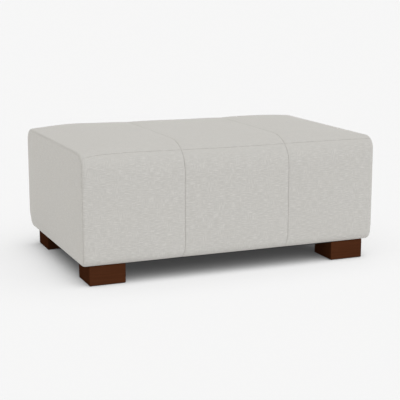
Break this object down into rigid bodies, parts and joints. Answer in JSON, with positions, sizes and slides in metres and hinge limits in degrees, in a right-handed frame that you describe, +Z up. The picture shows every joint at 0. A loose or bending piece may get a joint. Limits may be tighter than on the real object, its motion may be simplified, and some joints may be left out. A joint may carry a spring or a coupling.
{
  "type": "footstool",
  "caption": "Rectangular upholstered footstool with a crowned top, seamed fabric panels and low square timber block feet",
  "frame": {"origin": "on the floor under the middle of the seat, at the centre of the bottom of the bounding box", "axes": "+X along the length to the right seen from the front, +Y to the back, +Z up; the front faces -Y"},
  "size_m": [1.004, 0.6498, 0.4289],
  "materials": {
    "cover": "matte",
    "fibre": "matte",
    "foam": "matte",
    "deck_cloth": "matte",
    "hardboard": "matte",
    "spring_steel": "satin",
    "zinc_steel": "satin",
    "timber": "matte",
    "plywood": "matte",
    "foot_wood": "satin",
    "glide": "matte",
    "dust_cover": "matte"
  },
  "bodies": {
    "root": {"top_panel_left": "cover", "top_panel_center": "cover", "top_panel_right": "cover", "front_panel_left": "cover", "front_panel_center": "cover", "front_panel_right": "cover", "back_panel_left": "cover", "back_panel_center": "cover", "back_panel_right": "cover", "end_panel_left": "cover", "end_panel_right": "cover", "fibre_wrap": "fibre", "fibre_wrap_left_end": "fibre", "fibre_wrap_right_end": "fibre", "seat_foam": "foam", "front_pad": "foam", "back_pad": "foam", "left_pad": "foam", "right_pad": "foam", "edge_strip_left": "foam", "edge_strip_right": "foam", "deck_cloth": "deck_cloth", "front_board": "hardboard", "back_board": "hardboard", "left_board": "hardboard", "right_board": "hardboard", "spring_1": "spring_steel", "spring_2": "spring_steel", "spring_3": "spring_steel", "spring_4": "spring_steel", "spring_5": "spring_steel", "spring_6": "spring_steel", "spring_7": "spring_steel", "spring_clips": "spring_steel", "tie_wires": "spring_steel", "front_top_rail": "timber", "back_top_rail": "timber", "left_top_rail": "timber", "right_top_rail": "timber", "front_bottom_rail": "timber", "back_bottom_rail": "timber", "left_bottom_rail": "timber", "right_bottom_rail": "timber", "corner_blocks": "timber", "center_studs": "timber", "center_stretcher": "timber", "frame_screws": "zinc_steel", "leg_plate_front_left": "plywood", "leg_plate_front_right": "plywood", "leg_plate_rear_left": "plywood", "leg_plate_rear_right": "plywood", "tee_nuts": "zinc_steel", "hanger_bolts": "zinc_steel", "foot_front_left": "foot_wood", "foot_front_right": "foot_wood", "foot_rear_left": "foot_wood", "foot_rear_right": "foot_wood", "foot_glides": "glide", "dust_cover": "dust_cover"}
  },
  "joints": []
}
